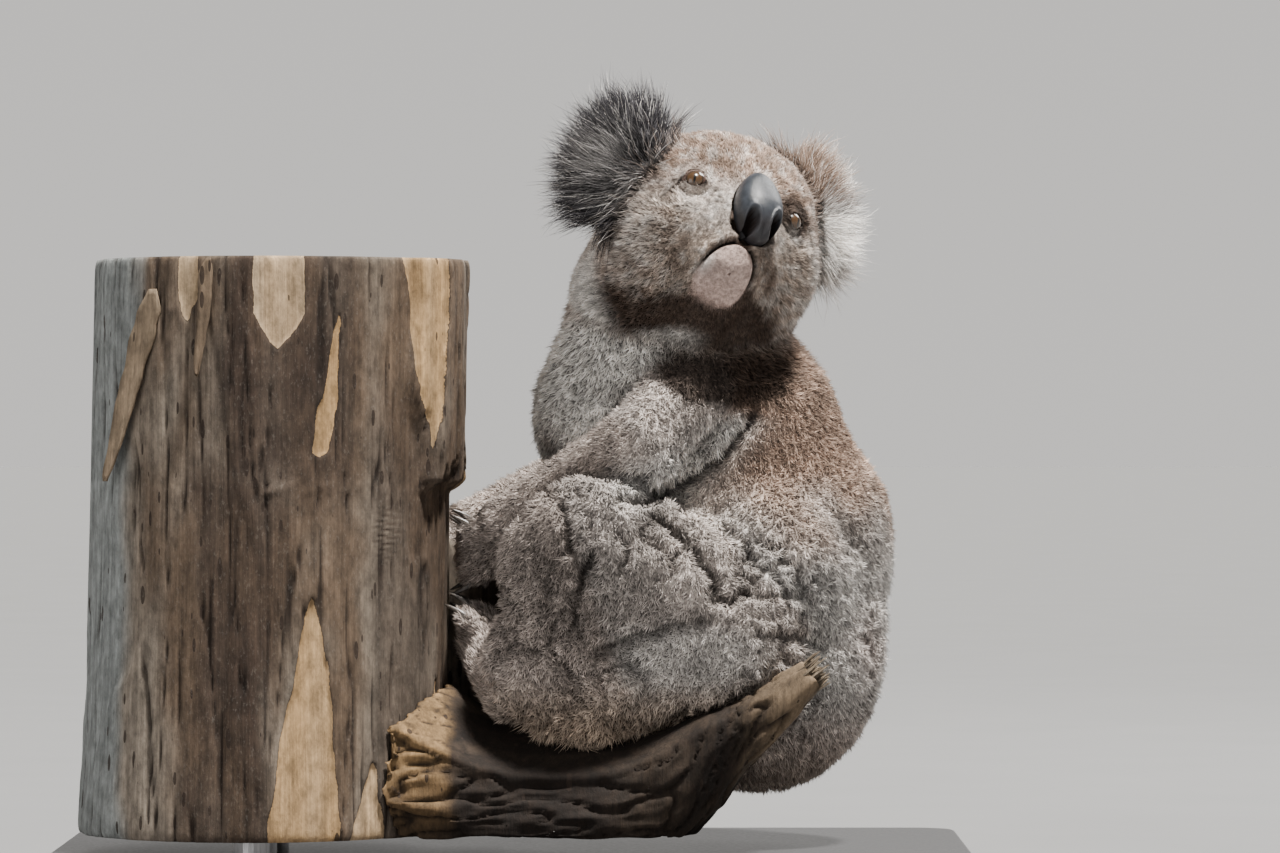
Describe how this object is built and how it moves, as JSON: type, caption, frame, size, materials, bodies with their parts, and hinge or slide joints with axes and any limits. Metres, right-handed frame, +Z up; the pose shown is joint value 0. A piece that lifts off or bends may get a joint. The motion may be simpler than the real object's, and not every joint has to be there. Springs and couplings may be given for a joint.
{
  "type": "koala model on a perch and stand",
  "caption": "Life-size still koala that sits in the fork of a cut eucalyptus trunk, head turned and raised, on a flat display base.",
  "frame": {"origin": "on the underside of the display base, below the middle of the view", "axes": "+Z up; the animal's back faces +X and its left side faces -Y; the trunk stands at -X"},
  "size_m": [0.68, 0.42, 0.5972],
  "materials": {
    "fur_back": "thick woolly coat, reddish brown and grey",
    "fur_grey": "thick woolly coat, mottled grey",
    "fur_white": "white throat and chest wool",
    "nose_skin": "bare leathery slate-grey skin, slightly moist",
    "eye": "glossy brown eye with a dark upright pupil",
    "claw_horn": "dark polished horn",
    "bark": "smooth gum bark shedding in long strips",
    "stand_metal": "satin steel",
    "stand_lacquer": "satin near-black lacquer on board"
  },
  "bodies": {
    "root": {"claw_foot_left_2": "claw_horn", "claw_foot_left_3": "claw_horn", "claw_foot_left_4": "claw_horn", "claw_foot_left_5": "claw_horn", "claw_foot_right_2": "claw_horn", "claw_foot_right_3": "claw_horn", "claw_foot_right_4": "claw_horn", "claw_foot_right_5": "claw_horn", "claw_hand_left_1": "claw_horn", "claw_hand_left_2": "claw_horn", "claw_hand_left_3": "claw_horn", "claw_hand_left_4": "claw_horn", "claw_hand_left_5": "claw_horn", "claw_hand_right_1": "claw_horn", "claw_hand_right_2": "claw_horn", "claw_hand_right_3": "claw_horn", "claw_hand_right_4": "claw_horn", "claw_hand_right_5": "claw_horn", "ear_left": "fur_grey", "ear_right": "fur_grey", "eye_left": "eye", "eye_right": "eye", "foot_left": "fur_grey", "foot_right": "fur_grey", "forearm_left": "fur_grey", "forearm_right": "fur_grey", "hand_left": "fur_grey", "hand_right": "fur_grey", "head": "fur_back", "neck": "fur_white", "nose": "nose_skin", "perch_branch": "bark", "perch_trunk": "bark", "shank_left": "fur_grey", "shank_right": "fur_grey", "stand_base": "stand_lacquer", "stand_rod_1": "stand_metal", "stand_rod_2": "stand_metal", "thigh_left": "fur_grey", "thigh_right": "fur_grey", "torso": "fur_back", "upper_arm_left": "fur_grey", "upper_arm_right": "fur_grey"}
  },
  "joints": []
}
